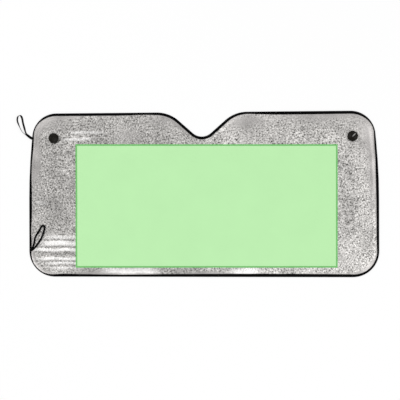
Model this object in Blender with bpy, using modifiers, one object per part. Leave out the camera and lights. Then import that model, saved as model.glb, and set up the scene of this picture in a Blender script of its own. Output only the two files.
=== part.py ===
# Car windscreen sunshade: one sheet of foil-faced bubble wrap with a bound edge, a notch for the
# mirror, two suction cups that spin in punched holes, and two elastic loops for holding it rolled.
#
# Metres. The shade lies on the floor (z = 0) with its cups up, its width along X and its top edge
# towards +Y. The origin is under the middle of the sheet.
import math

import bmesh
import bpy
from mathutils import Vector

# Outline, measured over the binding
WIDTH = 1.300
HEIGHT = 0.610
SIDE_TAPER = 0.0205  # each side leans in this far by the time it reaches the top
TAPER_HEIGHT = 0.215
SIDE_BEND_RADIUS = 2.200
TOP_CORNER_RADIUS = 0.0915
BOTTOM_CORNER_RADIUS = 0.0965

# Notch for the mirror, in the middle of the top edge
NOTCH_WIDTH = 0.243  # between the corners that its shoulders round off
NOTCH_DEPTH = 0.0905
NOTCH_VALLEY_RADIUS = 0.0505
NOTCH_SHOULDER_RADIUS = 0.123

# Foil sheet
FOIL_THICKNESS = 0.0040
HEM_THICKNESS = 0.0015  # bubbles pressed flat under the binding
HEM_SLOPE_WIDTH = 0.014
SHEET_CELL = 0.050
# Each long low wave in the sheet: height, length along X, length along Y, phase
SHEET_WAVES = [
    (0.0012, 0.460, 0.900, 0.4),
    (0.0009, 0.290, 0.410, 2.1),
    (0.0007, 0.190, -0.260, 1.2),
]
WAVE_FADE_WIDTH = 0.110  # the waves die out towards the binding over this width

# Binding tape, folded over the edge, and the line of thread along it
TAPE_THICKNESS = 0.0008
BINDING_WIDTH = 0.0090
FOLD_RADIUS = 0.0012
THREAD_RADIUS = 0.00035
SEAM_INSET = 0.0062  # from the outer fold to the thread

# Printed field
PRINT_LEFT_MARGIN = 0.177
PRINT_RIGHT_MARGIN = 0.151
PRINT_TOP_MARGIN = 0.1195
PRINT_BOTTOM_MARGIN = 0.0345
PRINT_LINE_WIDTH = 0.0056
FILM_THICKNESS = 0.0003

# Suction cups
CUP_SIDE_MARGIN = 0.0955  # from the side edge to the cup's axis
CUP_TOP_MARGIN = 0.093
CUP_RADIUS = 0.0190
CUP_HEIGHT = 0.0090
CUP_FLOOR = 0.0028
CUP_RIM_WIDTH = 0.0010
CUP_FLARE = 1.1
CUP_WALL_LEAN = 0.0006
COLLAR_RADIUS = 0.0075
COLLAR_HEIGHT = 0.0006
NECK_RADIUS = 0.0033
HEAD_RADIUS = 0.0065
HEAD_HEIGHT = 0.0030
HEAD_EDGE = 0.0009
HEAD_FLAT_RADIUS = 0.0035
CUP_LIFT_FLAT = 0.032  # the sheet is level over this radius, where a head props it up
CUP_LIFT_FADE = 0.056
PUNCH_DEPTH = 0.040
PUNCH_TURN = math.radians(4)  # keeps the corners of the hole off the sheet's own edges

# Elastic loops: their routes over what they lie on, chosen by hand
LOOP_DIAMETER = 0.0026
LOOP_POINT_SPACING = 0.0065
UPPER_LOOP_ROUTE = [
    (-0.6393, 0.2144, 0.00185),
    (-0.6438, 0.2166, 0.00175),
    (-0.6498, 0.2208, 0.00155),
    (-0.6560, 0.2256, 0.00140),
    (-0.6608, 0.2302, 0.00135),
    (-0.6636, 0.2372, 0.00135),
    (-0.6668, 0.2475, 0.00135),
    (-0.6716, 0.2640, 0.00135),
    (-0.6742, 0.2752, 0.00135),
    (-0.6756, 0.2836, 0.00135),
    (-0.6777, 0.2913, 0.00135),
    (-0.6807, 0.2966, 0.00135),
    (-0.6849, 0.2987, 0.00135),
    (-0.6897, 0.2969, 0.00135),
    (-0.6932, 0.2913, 0.00135),
    (-0.6946, 0.2833, 0.00135),
    (-0.6933, 0.2752, 0.00135),
    (-0.6903, 0.2668, 0.00135),
    (-0.6867, 0.2582, 0.00135),
    (-0.6821, 0.2480, 0.00135),
    (-0.6755, 0.2372, 0.00135),
    (-0.6692, 0.2312, 0.00135),
    (-0.6633, 0.2270, 0.00135),
    (-0.6580, 0.2230, 0.00140),
    (-0.6516, 0.2182, 0.00155),
    (-0.6454, 0.2138, 0.00175),
    (-0.6393, 0.2110, 0.00185),
]
LOWER_LOOP_ROUTE = [
    (-0.6394, -0.2010, 0.00485),
    (-0.6355, -0.1925, 0.00530),
    (-0.6322, -0.1830, 0.00550),
    (-0.6300, -0.1735, 0.00562),
    (-0.6288, -0.1645, 0.00570),
    (-0.6262, -0.1567, 0.00589),
    (-0.6215, -0.1487, 0.00622),
    (-0.6153, -0.1385, 0.00664),
    (-0.6096, -0.1290, 0.00704),
    (-0.6052, -0.1212, 0.00734),
    (-0.6020, -0.1163, 0.00756),
    (-0.5972, -0.1142, 0.00769),
    (-0.5927, -0.1168, 0.00774),
    (-0.5908, -0.1238, 0.00770),
    (-0.5934, -0.1330, 0.00756),
    (-0.5962, -0.1430, 0.00744),
    (-0.5998, -0.1525, 0.00732),
    (-0.6041, -0.1610, 0.00708),
    (-0.6090, -0.1692, 0.00678),
    (-0.6143, -0.1775, 0.00649),
    (-0.6195, -0.1855, 0.00620),
    (-0.6245, -0.1918, 0.00592),
    (-0.6310, -0.1990, 0.00556),
    (-0.6394, -0.2051, 0.00485),
]

GAP = 0.0003  # between pieces that touch
# A cut goes through a corner that lies this near, and leaves no sliver
GRID_CUT_SNAP = 0.0005
FILM_CUT_SNAP = 0.00005
FILLET_SHARE = 0.49  # the most of a side that the fillet at one end of it takes up
ARC_STEP = math.radians(10)
FOLD_STEPS = 2
TURNED_STEPS = 24
BOWL_STEPS = 5
DOME_STEPS = 3
THREAD_ROUNDING = 1
LOOP_ROUNDING = 2
ROUTE_STEPS = 20  # between two points of a loop's route

SHEET_EDGE_INSET = TAPE_THICKNESS + GAP
HEM_BOTTOM = TAPE_THICKNESS + GAP
HEM_TOP = HEM_BOTTOM + HEM_THICKNESS
BINDING_HEIGHT = HEM_TOP + GAP + TAPE_THICKNESS
SHEET_LIFT = HEM_BOTTOM
HEAD_SEAT = HEAD_HEIGHT + GAP  # underside of the sheet over a cup's head
COLLAR_SEAT = HEAD_SEAT + FOIL_THICKNESS + GAP
CUP_X = WIDTH / 2 - CUP_SIDE_MARGIN
CUP_Y = HEIGHT / 2 - CUP_TOP_MARGIN


def clear_scene():
    for item in list(bpy.data.objects):
        bpy.data.objects.remove(item, do_unlink=True)


def make_collection(name):
    collection = bpy.data.collections.new(name)
    bpy.context.scene.collection.children.link(collection)
    return collection


def make_material(name, colour, roughness, metallic):
    material = bpy.data.materials.new(name)
    material.use_nodes = True
    shader = material.node_tree.nodes["Principled BSDF"]
    shader.inputs["Base Color"].default_value = (*colour, 1.0)
    shader.inputs["Roughness"].default_value = roughness
    shader.inputs["Metallic"].default_value = metallic
    return material


def place(name, data, collection, material):
    item = bpy.data.objects.new(name, data)
    collection.objects.link(item)
    data.materials.append(material)
    return item


# Outline of the shade

def notch_slope():
    """Angle of the notch's sides, so that its rounded valley lies NOTCH_DEPTH down."""
    slope = math.atan2(NOTCH_DEPTH, NOTCH_WIDTH / 2)
    for _ in range(40):
        sharp_depth = NOTCH_DEPTH + NOTCH_VALLEY_RADIUS * (1 / math.cos(slope) - 1)
        slope = math.atan2(sharp_depth, NOTCH_WIDTH / 2)
    return slope


def outline_corners():
    """Each corner before it is rounded, anticlockwise: x, y, radius."""
    side = WIDTH / 2
    top = HEIGHT / 2
    shoulder = NOTCH_WIDTH / 2
    valley = top - shoulder * math.tan(notch_slope())
    return [
        (-side, -top, BOTTOM_CORNER_RADIUS),
        (side, -top, BOTTOM_CORNER_RADIUS),
        (side, top - TAPER_HEIGHT, SIDE_BEND_RADIUS),
        (side - SIDE_TAPER, top, TOP_CORNER_RADIUS),
        (shoulder, top, NOTCH_SHOULDER_RADIUS),
        (0.0, valley, NOTCH_VALLEY_RADIUS),
        (-shoulder, top, NOTCH_SHOULDER_RADIUS),
        (-side + SIDE_TAPER, top, TOP_CORNER_RADIUS),
        (-side, top - TAPER_HEIGHT, SIDE_BEND_RADIUS),
    ]


def outline_points(inset):
    """The rounded outline, moved in by inset, with every arc about its own centre."""
    corners = [(Vector((x, y)), radius) for x, y, radius in outline_corners()]
    points = []
    for index, (corner, radius) in enumerate(corners):
        before = corner - corners[index - 1][0]
        after = corners[(index + 1) % len(corners)][0] - corner
        turn = -before.angle_signed(after)
        side = math.copysign(1.0, turn)
        most = FILLET_SHARE * min(before.length, after.length)
        reach = min(radius * math.tan(abs(turn) / 2), most)
        radius = reach / math.tan(abs(turn) / 2)
        along = before.normalized()
        inward = Vector((-along.y, along.x)) * side
        centre = corner - along * reach + inward * radius
        start = math.atan2(-inward.y, -inward.x)
        steps = max(2, math.ceil(abs(turn) / ARC_STEP))
        for step in range(steps + 1):
            angle = start + turn * step / steps
            points.append(centre + Vector((math.cos(angle), math.sin(angle))) * (radius - side * inset))
    return points


def distance_to(x, y, outline):
    """Distance from a point to the nearest stretch of a closed outline."""
    nearest = math.inf
    for index, end in enumerate(outline):
        start = outline[index - 1]
        dx = end.x - start.x
        dy = end.y - start.y
        share = ((x - start.x) * dx + (y - start.y) * dy) / max(dx * dx + dy * dy, 1e-12)
        share = min(max(share, 0.0), 1.0)
        nearest = min(nearest, math.hypot(x - start.x - share * dx, y - start.y - share * dy))
    return nearest


# Heights of the sheet

def smooth_step(value):
    value = min(max(value, 0.0), 1.0)
    return value * value * (3 - 2 * value)


def cup_closeness(x, y):
    """1 beside a cup, falling to 0 where the sheet is free of it."""
    away = math.hypot(abs(x) - CUP_X, y - CUP_Y)
    return 1 - smooth_step((away - CUP_LIFT_FLAT) / CUP_LIFT_FADE)


def sheet_base(x, y, from_edge):
    """Height of the sheet's underside away from the pressed hem."""
    wave = 0.0
    for height, length_x, length_y, phase in SHEET_WAVES:
        wave += height * (1 + math.sin(math.tau * (x / length_x + y / length_y) + phase))
    free = SHEET_LIFT + wave * smooth_step(from_edge / WAVE_FADE_WIDTH)
    lift = cup_closeness(x, y)
    return free + (HEAD_SEAT - free) * lift


def hem_share(from_edge):
    """0 under the binding, 1 where the bubbles are whole."""
    pressed = BINDING_WIDTH - SHEET_EDGE_INSET + GAP
    return smooth_step((from_edge - pressed) / HEM_SLOPE_WIDTH)


def sheet_bottom(x, y, from_edge):
    share = hem_share(from_edge)
    return HEM_BOTTOM + (sheet_base(x, y, from_edge) - HEM_BOTTOM) * share


def sheet_top(x, y, from_edge):
    share = hem_share(from_edge)
    return HEM_TOP + (sheet_base(x, y, from_edge) + FOIL_THICKNESS - HEM_TOP) * share


# Foil sheet

def cut_lines(half, extra):
    """Evenly spaced cuts across the sheet, and the extra ones beside the cups."""
    count = math.ceil(2 * half / SHEET_CELL)
    lines = [-half + 2 * half * step / count for step in range(1, count)]
    kept = [line for line in lines if min(abs(line - other) for other in extra) > SHEET_CELL / 3]
    return kept + extra


def make_top_skin():
    """The sheet's upper face as an open mesh of triangles, at its true heights."""
    edge = outline_points(SHEET_EDGE_INSET)
    skin = bmesh.new()
    corners = [skin.verts.new((point.x, point.y, 0.0)) for point in edge]
    face = skin.faces.new(corners)
    pressed = BINDING_WIDTH - SHEET_EDGE_INSET + GAP
    for width in (pressed, HEM_SLOPE_WIDTH / 2, HEM_SLOPE_WIDTH / 2):
        bmesh.ops.inset_region(skin, faces=[face], thickness=width, use_boundary=True, use_even_offset=True)
    flat = CUP_LIFT_FLAT / math.sqrt(2)
    across = [side * CUP_X + step * flat for side in (-1, 1) for step in (-1, 1)]
    along = [CUP_Y - flat, CUP_Y + flat]
    for axis, lines in ((0, cut_lines(WIDTH / 2, across)), (1, cut_lines(HEIGHT / 2, along))):
        normal = Vector((axis == 0, axis == 1, 0))
        for line in lines:
            everything = skin.verts[:] + skin.edges[:] + skin.faces[:]
            bmesh.ops.bisect_plane(
                skin, geom=everything, dist=GRID_CUT_SNAP, plane_co=normal * line, plane_no=normal
            )
    bmesh.ops.triangulate(skin, faces=skin.faces[:], quad_method="FIXED", ngon_method="BEAUTY")
    distances = {vertex: distance_to(vertex.co.x, vertex.co.y, edge) for vertex in skin.verts}
    for vertex, from_edge in distances.items():
        vertex.co.z = sheet_top(vertex.co.x, vertex.co.y, from_edge)
    bmesh.ops.recalc_face_normals(skin, faces=skin.faces[:])
    if sum(face.normal.z for face in skin.faces) < 0:
        bmesh.ops.reverse_faces(skin, faces=skin.faces[:])
    return skin


def thicken(skin, bottom_of):
    """Close an open upward-facing skin into a solid whose lower face follows bottom_of."""
    lower = bmesh.ops.extrude_face_region(skin, geom=skin.faces[:], use_keep_orig=True)
    for item in lower["geom"]:
        if isinstance(item, bmesh.types.BMVert):
            item.co.z = bottom_of(item.co)
    bmesh.ops.recalc_face_normals(skin, faces=skin.faces[:])


def make_foil_panel(skin, collection, cutters):
    edge = outline_points(SHEET_EDGE_INSET)
    solid = skin.copy()
    thicken(solid, lambda point: sheet_bottom(point.x, point.y, distance_to(point.x, point.y, edge)))
    mesh = bpy.data.meshes.new("foil_panel")
    solid.to_mesh(mesh)
    solid.free()
    foil = make_material("silver_foil", (0.62, 0.61, 0.60), 0.38, 0.85)
    panel = place("foil_panel", mesh, collection, foil)
    for side in (-1, 1):
        bpy.ops.mesh.primitive_cylinder_add(
            vertices=TURNED_STEPS,
            radius=NECK_RADIUS + GAP,
            depth=PUNCH_DEPTH,
            location=(side * CUP_X, CUP_Y, 0.0),
            rotation=(0.0, 0.0, PUNCH_TURN),
        )
        punch = bpy.context.object
        punch.name = "neck_punch"
        for holder in list(punch.users_collection):
            holder.objects.unlink(punch)
        cutters.objects.link(punch)
        punch.hide_render = True
        punch.display_type = "WIRE"
        cut = panel.modifiers.new("neck_hole", "BOOLEAN")
        cut.object = punch
        cut.operation = "DIFFERENCE"
    return panel


# Binding and its seam

def closed_path(name, points, height):
    data = bpy.data.curves.new(name, "CURVE")
    data.dimensions = "3D"
    data.twist_mode = "Z_UP"
    spline = data.splines.new("POLY")
    spline.points.add(len(points) - 1)
    for target, point in zip(spline.points, points):
        target.co = (point.x, point.y, height, 1.0)
    spline.use_cyclic_u = True
    return data


def binding_section():
    """The folded tape, cut across: distance in from the fold, and height."""
    top = BINDING_HEIGHT
    tape = TAPE_THICKNESS
    rounding = min(FOLD_RADIUS, top / 2)
    fold = []
    for step in range(FOLD_STEPS + 1):
        angle = math.radians(90 * step / FOLD_STEPS)
        fold.append((rounding * (1 - math.sin(angle)), rounding * (1 - math.cos(angle))))
    outside = [(BINDING_WIDTH, 0.0)] + fold
    outside += [(inwards, top - height) for inwards, height in reversed(fold)] + [(BINDING_WIDTH, top)]
    inside = [(BINDING_WIDTH, top - tape), (tape, top - tape), (tape, tape), (BINDING_WIDTH, tape)]
    return list(reversed(outside + inside))


def make_edge_binding(collection, guides):
    section = bpy.data.curves.new("binding_section", "CURVE")
    section.dimensions = "2D"
    section.fill_mode = "NONE"
    spline = section.splines.new("POLY")
    points = binding_section()
    spline.points.add(len(points) - 1)
    for target, (inwards, height) in zip(spline.points, points):
        target.co = (-inwards, height, 0.0, 1.0)
    spline.use_cyclic_u = True
    guide = bpy.data.objects.new("binding_section", section)
    guide.hide_render = True
    guide.display_type = "WIRE"
    guides.objects.link(guide)

    data = closed_path("edge_binding", outline_points(0.0), 0.0)
    data.bevel_mode = "OBJECT"
    data.bevel_object = guide
    return place("edge_binding", data, collection, make_material("black_tape", (0.02, 0.02, 0.022), 0.8, 0.0))


def make_seam_thread(collection):
    data = closed_path("seam_thread", outline_points(SEAM_INSET), BINDING_HEIGHT + GAP + THREAD_RADIUS)
    data.bevel_depth = THREAD_RADIUS
    data.bevel_resolution = THREAD_ROUNDING
    return place("seam_thread", data, collection, make_material("black_thread", (0.03, 0.03, 0.032), 0.7, 0.0))


# Printed field

def print_box():
    return (
        -WIDTH / 2 + PRINT_LEFT_MARGIN,
        WIDTH / 2 - PRINT_RIGHT_MARGIN,
        -HEIGHT / 2 + PRINT_BOTTOM_MARGIN,
        HEIGHT / 2 - PRINT_TOP_MARGIN,
    )


def cut_box(skin, box, drop_outside):
    """Cut the skin along a rectangle's sides, and drop what lies outside it if asked."""
    left, right, bottom, top = box
    planes = [((left, 0, 0), (-1, 0, 0)), ((right, 0, 0), (1, 0, 0))]
    planes += [((0, bottom, 0), (0, -1, 0)), ((0, top, 0), (0, 1, 0))]
    for point, normal in planes:
        everything = skin.verts[:] + skin.edges[:] + skin.faces[:]
        bmesh.ops.bisect_plane(
            skin,
            geom=everything,
            dist=FILM_CUT_SNAP,
            plane_co=point,
            plane_no=normal,
            clear_outer=drop_outside,
        )


def shrink(box, width):
    left, right, bottom, top = box
    return (left + width, right - width, bottom + width, top - width)


def make_film(name, skin, collection, material):
    bmesh.ops.translate(skin, verts=skin.verts[:], vec=(0, 0, GAP + FILM_THICKNESS))
    thicken(skin, lambda point: point.z - FILM_THICKNESS)
    mesh = bpy.data.meshes.new(name)
    skin.to_mesh(mesh)
    skin.free()
    return place(name, mesh, collection, material)


def make_print_field(skin, collection):
    field = skin.copy()
    cut_box(field, shrink(print_box(), PRINT_LINE_WIDTH + GAP), True)
    green = make_material("pale_green_print", (0.53, 0.87, 0.46), 0.5, 0.0)
    return make_film("print_field", field, collection, green)


def make_print_border(skin, collection):
    border = skin.copy()
    cut_box(border, print_box(), True)
    left, right, bottom, top = shrink(print_box(), PRINT_LINE_WIDTH)
    cut_box(border, (left, right, bottom, top), False)
    inside = []
    for face in border.faces:
        middle = face.calc_center_median()
        if left < middle.x < right and bottom < middle.y < top:
            inside.append(face)
    bmesh.ops.delete(border, geom=inside, context="FACES")
    green = make_material("green_print", (0.13, 0.50, 0.10), 0.5, 0.0)
    return make_film("print_border", border, collection, green)


# Suction cups

def cup_profile():
    """Half of the cup's section, from the bowl's middle over the rim and down to the head."""
    floor = COLLAR_SEAT + CUP_FLOOR
    rim = COLLAR_SEAT + CUP_HEIGHT
    inner = CUP_RADIUS - CUP_RIM_WIDTH
    profile = [(0.0, floor)]
    for step in range(1, BOWL_STEPS + 1):
        share = step / BOWL_STEPS
        profile.append((inner * share, floor + (rim - floor) * share**2))
    profile.append((CUP_RADIUS, rim))
    collar = COLLAR_SEAT + COLLAR_HEIGHT
    shoulder = rim - CUP_WALL_LEAN
    for step in range(BOWL_STEPS, -1, -1):
        share = step / BOWL_STEPS
        radius = COLLAR_RADIUS + (CUP_RADIUS - COLLAR_RADIUS) * share
        profile.append((radius, collar + (shoulder - collar) * share**CUP_FLARE))
    profile.append((COLLAR_RADIUS, COLLAR_SEAT))
    profile.append((NECK_RADIUS, COLLAR_SEAT))
    profile.append((NECK_RADIUS, HEAD_HEIGHT))
    profile.append((HEAD_RADIUS, HEAD_HEIGHT))
    profile.append((HEAD_RADIUS, HEAD_HEIGHT - HEAD_EDGE))
    dome = HEAD_HEIGHT - HEAD_EDGE
    for step in range(1, DOME_STEPS + 1):
        angle = math.radians(90 * step / DOME_STEPS)
        radius = HEAD_FLAT_RADIUS + (HEAD_RADIUS - HEAD_FLAT_RADIUS) * math.cos(angle)
        profile.append((radius, dome * (1 - math.sin(angle))))
    profile.append((0.0, 0.0))
    return profile


def make_suction_cup(name, side, collection, material):
    mesh = bpy.data.meshes.new(name)
    shape = bmesh.new()
    previous = None
    for radius, height in cup_profile():
        vertex = shape.verts.new((radius, 0.0, height))
        if previous is not None:
            shape.edges.new((previous, vertex))
        previous = vertex
    shape.to_mesh(mesh)
    shape.free()
    cup = place(name, mesh, collection, material)
    cup.location = (side * CUP_X, CUP_Y, 0.0)
    turn = cup.modifiers.new("turn", "SCREW")
    turn.axis = "Z"
    turn.steps = TURNED_STEPS
    turn.render_steps = TURNED_STEPS
    turn.use_merge_vertices = True
    turn.merge_threshold = 0.00001
    turn.use_smooth_shade = True
    return cup


# Elastic loops

def smooth_route(route, spacing):
    """Evenly spaced points along a smooth curve through the route's own points."""
    points = [Vector(point) for point in route]
    padded = [points[0] * 2 - points[1]] + points + [points[-1] * 2 - points[-2]]
    fine = []
    for index in range(1, len(padded) - 2):
        before, start, end, after = padded[index - 1 : index + 3]
        for step in range(ROUTE_STEPS):
            t = step / ROUTE_STEPS
            fine.append(
                0.5
                * (
                    start * 2
                    + (end - before) * t
                    + (before * 2 - start * 5 + end * 4 - after) * t**2
                    + (start * 3 - before - end * 3 + after) * t**3
                )
            )
    fine.append(points[-1])
    lengths = [0.0]
    for start, end in zip(fine, fine[1:]):
        lengths.append(lengths[-1] + (end - start).length)
    count = max(2, round(lengths[-1] / spacing))
    placed = []
    for step in range(count + 1):
        wanted = lengths[-1] * step / count
        index = min(max(sum(length < wanted for length in lengths), 1), len(fine) - 1)
        span = max(lengths[index] - lengths[index - 1], 1e-9)
        placed.append(fine[index - 1].lerp(fine[index], (wanted - lengths[index - 1]) / span))
    return placed


def make_elastic_loop(name, route, collection, material):
    points = smooth_route(route, LOOP_POINT_SPACING)
    data = bpy.data.curves.new(name, "CURVE")
    data.dimensions = "3D"
    data.bevel_depth = LOOP_DIAMETER / 2
    data.bevel_resolution = LOOP_ROUNDING
    data.use_fill_caps = True
    spline = data.splines.new("POLY")
    spline.points.add(len(points) - 1)
    for target, point in zip(spline.points, points):
        target.co = (*point, 1.0)
    return place(name, data, collection, material)


def main():
    clear_scene()
    shade = make_collection("car_sunshade")
    helpers = make_collection("cutters")
    skin = make_top_skin()
    make_foil_panel(skin, shade, helpers)
    make_print_field(skin, shade)
    make_print_border(skin, shade)
    skin.free()
    make_edge_binding(shade, helpers)
    make_seam_thread(shade)
    rubber = make_material("black_rubber", (0.02, 0.02, 0.02), 0.25, 0.0)
    make_suction_cup("suction_cup_left", -1, shade, rubber)
    make_suction_cup("suction_cup_right", 1, shade, rubber.copy())
    elastic = make_material("black_elastic", (0.02, 0.02, 0.02), 0.85, 0.0)
    make_elastic_loop("elastic_loop_upper", UPPER_LOOP_ROUTE, shade, elastic)
    make_elastic_loop("elastic_loop_lower", LOWER_LOOP_ROUTE, shade, elastic.copy())


main()
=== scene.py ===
import math

import bmesh
import bpy
import numpy as np
from mathutils import Matrix, Vector


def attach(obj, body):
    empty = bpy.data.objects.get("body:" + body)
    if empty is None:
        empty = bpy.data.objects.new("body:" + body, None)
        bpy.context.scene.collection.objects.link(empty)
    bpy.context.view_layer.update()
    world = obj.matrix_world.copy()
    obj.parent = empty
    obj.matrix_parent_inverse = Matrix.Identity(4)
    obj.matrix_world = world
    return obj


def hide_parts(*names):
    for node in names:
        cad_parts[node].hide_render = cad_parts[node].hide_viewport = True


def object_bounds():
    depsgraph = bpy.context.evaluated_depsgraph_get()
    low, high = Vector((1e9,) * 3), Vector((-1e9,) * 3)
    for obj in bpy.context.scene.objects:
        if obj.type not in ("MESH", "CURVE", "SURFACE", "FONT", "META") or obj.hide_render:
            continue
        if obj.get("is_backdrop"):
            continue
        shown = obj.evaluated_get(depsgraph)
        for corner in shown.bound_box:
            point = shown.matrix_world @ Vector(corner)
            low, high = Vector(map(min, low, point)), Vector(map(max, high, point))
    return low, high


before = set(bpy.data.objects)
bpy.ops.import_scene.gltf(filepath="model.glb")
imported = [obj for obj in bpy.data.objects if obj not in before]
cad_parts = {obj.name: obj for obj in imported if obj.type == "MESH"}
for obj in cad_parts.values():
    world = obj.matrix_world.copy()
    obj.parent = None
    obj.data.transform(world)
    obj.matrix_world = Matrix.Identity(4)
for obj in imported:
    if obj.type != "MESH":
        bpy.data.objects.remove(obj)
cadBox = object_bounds()
print("frame loaded:", ", ".join(sorted(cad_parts)))


# Outline of the shade, in metres, as the solids have it
shade = {
    "width": 1.300,
    "height": 0.610,
    "sideTaper": 0.0205,
    "taperHeight": 0.215,
    "sideBendRadius": 2.200,
    "topCornerRadius": 0.0915,
    "bottomCornerRadius": 0.0965,
    "notchWidth": 0.243,
    "notchDepth": 0.0905,
    "notchValleyRadius": 0.0505,
    "notchShoulderRadius": 0.123,
    "cupX": 0.5545,
    "cupY": 0.212,
    "arcStep": 3,  # degrees
}
tiny = 1e-12
mergeReach = 1e-6


def notchSlope():
    # the slope that leaves the notch its depth once its valley is rounded
    half = shade["notchWidth"] / 2
    slope = math.atan2(shade["notchDepth"], half)
    rounds = 40
    for _ in range(rounds):
        sharpDepth = shade["notchDepth"] + shade["notchValleyRadius"] * (1 / math.cos(slope) - 1)
        slope = math.atan2(sharpDepth, half)
    return slope


def outlineAt(inset):
    # the shade's outline with its corners rounded, moved in by the inset
    side, top, shoulder = shade["width"] / 2, shade["height"] / 2, shade["notchWidth"] / 2
    bend, taper = top - shade["taperHeight"], side - shade["sideTaper"]
    longestShare = 0.49  # of a side, taken up by the rounding at one end
    corners = [
        (-side, -top, shade["bottomCornerRadius"]),
        (side, -top, shade["bottomCornerRadius"]),
        (side, bend, shade["sideBendRadius"]),
        (taper, top, shade["topCornerRadius"]),
        (shoulder, top, shade["notchShoulderRadius"]),
        (0.0, top - shoulder * math.tan(notchSlope()), shade["notchValleyRadius"]),
        (-shoulder, top, shade["notchShoulderRadius"]),
        (-taper, top, shade["topCornerRadius"]),
        (-side, bend, shade["sideBendRadius"]),
    ]
    points = []
    for index, (x, y, radius) in enumerate(corners):
        corner = Vector((x, y))
        before = corner - Vector(corners[index - 1][:2])
        after = Vector(corners[(index + 1) % len(corners)][:2]) - corner
        turn = -before.angle_signed(after)
        bendSide = math.copysign(1.0, turn)
        longest = longestShare * min(before.length, after.length)
        reach = min(radius * math.tan(abs(turn) / 2), longest)
        radius = reach / math.tan(abs(turn) / 2)
        along = before.normalized()
        inward = Vector((-along.y, along.x)) * bendSide
        centre = corner - along * reach + inward * radius
        start = math.atan2(-inward.y, -inward.x)
        steps = max(3, math.ceil(abs(turn) / math.radians(shade["arcStep"])))
        for step in range(steps + 1):
            angle = start + turn * step / steps
            arm = radius - bendSide * inset
            points.append((centre.x + arm * math.cos(angle), centre.y + arm * math.sin(angle)))
    return np.array(points)


def evenly(points, spacing, closed=True):
    # the same line with evenly spaced points
    line = np.vstack([points, points[:1]]) if closed else np.asarray(points)
    lengths = np.concatenate([[0.0], np.cumsum(np.linalg.norm(np.diff(line, axis=0), axis=1))])
    count = max(3, round(lengths[-1] / spacing))
    wanted = np.linspace(0.0, lengths[-1], count + 1)
    placed = np.stack([np.interp(wanted, lengths, values) for values in line.T], axis=1)
    return (placed[:-1] if closed else placed), lengths[-1]


def nearestOn(points, outline):
    # distance in from a closed outline, negative outside it, and the nearest point of it
    starts, ends = np.roll(outline, 1, axis=0), outline
    sides = ends - starts
    depth, nearest = np.empty(len(points)), np.empty((len(points), 2))
    batch = 8000
    for first in range(0, len(points), batch):
        part = points[first : first + batch, None, :]
        share = ((part - starts) * sides).sum(2) / np.maximum((sides**2).sum(1), tiny)
        spots = starts + np.clip(share, 0, 1)[..., None] * sides
        gaps = np.linalg.norm(part - spots, axis=2)
        pick = gaps.argmin(1)
        rows = np.arange(len(pick))
        crosses = (starts[:, 1] > part[..., 1]) != (ends[:, 1] > part[..., 1])
        rise = np.where(np.abs(sides[:, 1]) < tiny, tiny, sides[:, 1])
        atX = starts[:, 0] + (part[..., 1] - starts[:, 1]) / rise * sides[:, 0]
        inside = (crosses & (part[..., 0] < atX)).sum(1) % 2 == 1
        depth[first : first + batch] = np.where(inside, gaps[rows, pick], -gaps[rows, pick])
        nearest[first : first + batch] = spots[rows, pick]
    return depth, nearest


def smoothStep(value):
    value = np.clip(value, 0.0, 1.0)
    return value * value * (3 - 2 * value)


def cupDistance(x, y):
    return np.hypot(np.abs(x) - shade["cupX"], y - shade["cupY"])


# Heights of the sheet, as the solids have them
sheet = {
    "thickness": 0.0040,
    "hemBottom": 0.0011,
    "hemTop": 0.0026,
    "hemSlope": 0.014,
    "headSeat": 0.0033,
    "edgeInset": 0.0011,
    # height, length in x, length in y, phase
    "waves": [
        (0.0012, 0.460, 0.900, 0.4), (0.0009, 0.290, 0.410, 2.1), (0.0007, 0.190, -0.260, 1.2),
    ],
    "waveFade": 0.110,
    "cupFlat": 0.032,
    "cupFade": 0.056,
}
tapeWidth, tapeHeight, tapeThickness, gap = 0.0090, 0.0037, 0.0008, 0.0003
sheetEdge = outlineAt(sheet["edgeInset"])


def sheetHeights(x, y, depth):
    # underside and top of the sheet, and how far it has risen from the hem
    wave = 0.0
    for height, lengthX, lengthY, phase in sheet["waves"]:
        wave = wave + height * (1 + np.sin(math.tau * (x / lengthX + y / lengthY) + phase))
    free = sheet["hemBottom"] + wave * smoothStep(depth / sheet["waveFade"])
    lift = 1 - smoothStep((cupDistance(x, y) - sheet["cupFlat"]) / sheet["cupFade"])
    base = free + (sheet["headSeat"] - free) * lift
    share = smoothStep((depth - (tapeWidth - sheet["edgeInset"] + gap)) / sheet["hemSlope"])
    bottom = sheet["hemBottom"] + (base - sheet["hemBottom"]) * share
    top = sheet["hemTop"] + (base + sheet["thickness"] - sheet["hemTop"]) * share
    return bottom, top, share


def groundUnder(x, y):
    # what a loop lies on there: the sheet, the binding or the floor
    depth = nearestOn(np.stack([x, y], axis=1), outlineAt(0.0))[0]
    top = sheetHeights(x, y, np.maximum(depth - sheet["edgeInset"], 0.0))[1]
    offTheEdge = -0.0005
    return np.where(depth < offTheEdge, 0.0, np.where(depth < tapeWidth, tapeHeight, top))


# Making meshes

def addObject(name, data):
    added = bpy.data.objects.new(name, data)
    bpy.context.scene.collection.objects.link(added)
    return added


def place(name, shape, material, smooth=True, sharpAbove=None):
    mesh = bpy.data.meshes.new(name)
    shape.to_mesh(mesh)
    shape.free()
    mesh.materials.append(material)
    mesh.polygons.foreach_set("use_smooth", [smooth] * len(mesh.polygons))
    if sharpAbove is not None:
        mesh.set_sharp_from_angle(angle=math.radians(sharpAbove))
    return addObject(name, mesh)


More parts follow.
